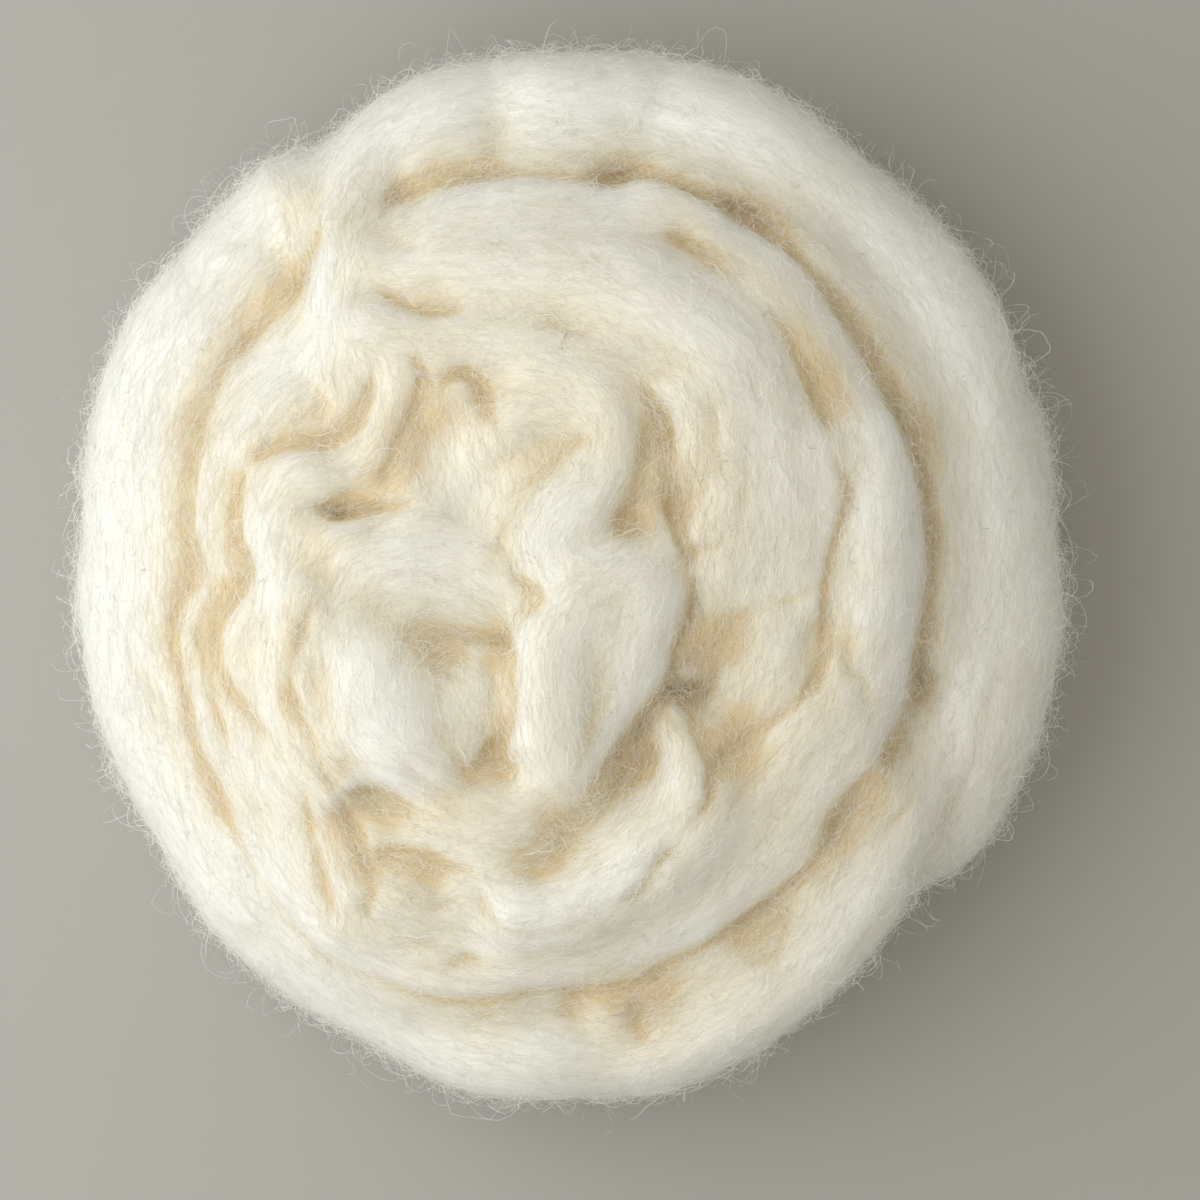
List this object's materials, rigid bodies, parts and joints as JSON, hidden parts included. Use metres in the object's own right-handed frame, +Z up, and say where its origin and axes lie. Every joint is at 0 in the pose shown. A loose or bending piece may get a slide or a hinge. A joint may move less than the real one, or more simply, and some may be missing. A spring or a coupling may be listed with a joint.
{
  "type": "wool roving",
  "caption": "Low round bun of undyed wool roving, one soft untwisted strand wound and folded in on itself.",
  "frame": {"origin": "centre of the heap's bounding box, at its flat foot", "axes": "+Z up out of the surface it lies on, +Y along its longest side"},
  "size_m": [0.1943, 0.2089, 0.084],
  "materials": {
    "wool": "soft matt combed wool with a faint silky sheen"
  },
  "bodies": {
    "root": {"wound_roving": "wool"}
  },
  "joints": []
}
